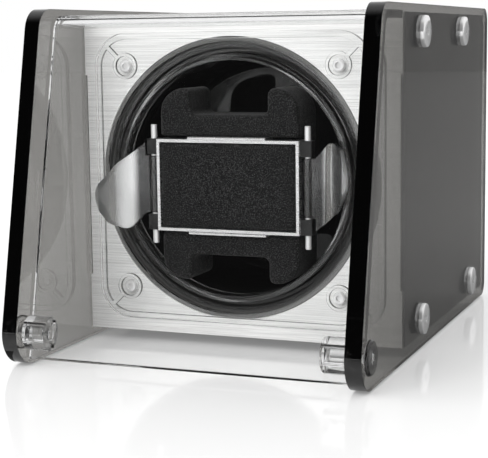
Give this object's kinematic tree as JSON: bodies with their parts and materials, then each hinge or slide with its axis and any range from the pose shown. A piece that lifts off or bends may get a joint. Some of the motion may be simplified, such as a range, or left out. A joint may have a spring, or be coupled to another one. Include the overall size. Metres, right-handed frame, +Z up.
{
  "type": "watch winder box",
  "caption": "Watch winder box with smoked side panels, a hinged clear front cover and a turning rotor that carries a cushioned watch holder with squeeze wings.",
  "frame": {"origin": "on the table, under the middle of the footprint", "axes": "+X to the viewer's right, +Y to the back, +Z up"},
  "size_m": [0.1394, 0.199, 0.13],
  "materials": {
    "smoked_acrylic": "polished smoked acrylic",
    "clear_acrylic": "polished clear acrylic",
    "polished_screw": "polished",
    "brushed_aluminium": "brushed level",
    "black_plastic": "satin",
    "gloss_black": "gloss",
    "suede": "short nap",
    "silver_trim": "metallised satin",
    "steel": "bright",
    "bronze": "sintered",
    "gear_plastic": "moulded",
    "board": "lacquered"
  },
  "bodies": {
    "box": {"side_panel_left": "smoked_acrylic", "side_panel_right": "smoked_acrylic", "panel_screws_left": "polished_screw", "panel_screws_right": "polished_screw", "hinge_pin_left": "clear_acrylic", "hinge_pin_right": "clear_acrylic", "body_shell": "black_plastic", "rear_cover": "black_plastic", "rear_cover_screws": "steel", "front_plate": "brushed_aluminium", "clear_bezel": "clear_acrylic", "bezel_screws": "polished_screw", "well_collar": "black_plastic", "bulkhead": "black_plastic", "shaft_bushes": "bronze", "motor_bracket": "steel", "motor": "steel", "motor_screws": "steel", "control_board": "board", "selector_body": "black_plastic", "board_spacers": "steel", "switch_housing": "black_plastic", "power_jack": "black_plastic"},
    "cover": {"front_cover": "clear_acrylic"},
    "rotor": {"rotor_cup": "gloss_black", "rotor_ring": "clear_acrylic", "rotor_shaft": "steel", "rotor_gear": "gear_plastic", "gear_clip": "steel", "holder_peg": "black_plastic"},
    "pinion": {"motor_pinion": "gear_plastic"},
    "holder": {"holder_base": "black_plastic", "holder_frame": "silver_trim", "front_pad": "suede", "strap_bars": "silver_trim", "rear_cushion": "suede", "wing_pins": "steel"},
    "left_wing": {"wing_left": "clear_acrylic"},
    "right_wing": {"wing_right": "clear_acrylic"},
    "knob": {"turns_knob": "black_plastic"},
    "switch": {"direction_switch": "black_plastic"}
  },
  "joints": [
    {"name": "cover_hinge", "type": "hinge", "parent": "box", "child": "cover", "pos_m": [0, -0.0905, 0.012], "axis": [1, 0, 0], "range_deg": [0, 100]},
    {"name": "rotor_spin", "type": "hinge", "parent": "box", "child": "rotor", "pos_m": [0, 0, 0.065], "axis": [0, 1, 0], "continuous": true},
    {"name": "pinion_spin", "type": "hinge", "parent": "box", "child": "pinion", "pos_m": [0, 0.038, 0.02725], "axis": [0, 1, 0], "continuous": true},
    {"name": "holder_pull", "type": "slide", "parent": "rotor", "child": "holder", "axis": [0, -1, 0], "range_m": [0, 0.012]},
    {"name": "wing_left_squeeze", "type": "hinge", "parent": "holder", "child": "left_wing", "pos_m": [-0.0312, -0.043, 0.0628], "axis": [0, 0, 1], "range_deg": [0, 15], "stiffness_Nm_per_rad": 0.02},
    {"name": "wing_right_squeeze", "type": "hinge", "parent": "holder", "child": "right_wing", "pos_m": [0.0312, -0.043, 0.0628], "axis": [0, 0, -1], "range_deg": [0, 15], "stiffness_Nm_per_rad": 0.02},
    {"name": "turns_knob_turn", "type": "hinge", "parent": "box", "child": "knob", "pos_m": [-0.02, 0.09, 0.085], "axis": [0, 1, 0], "range_deg": [0, 270]},
    {"name": "direction_slide", "type": "slide", "parent": "box", "child": "switch", "axis": [1, 0, 0], "range_m": [-0.002, 0.002]}
  ],
  "couplings": [
    {"joint": "pinion_spin", "follows": "rotor_spin", "ratio": -4},
    {"joint": "wing_right_squeeze", "follows": "wing_left_squeeze", "ratio": 1}
  ]
}
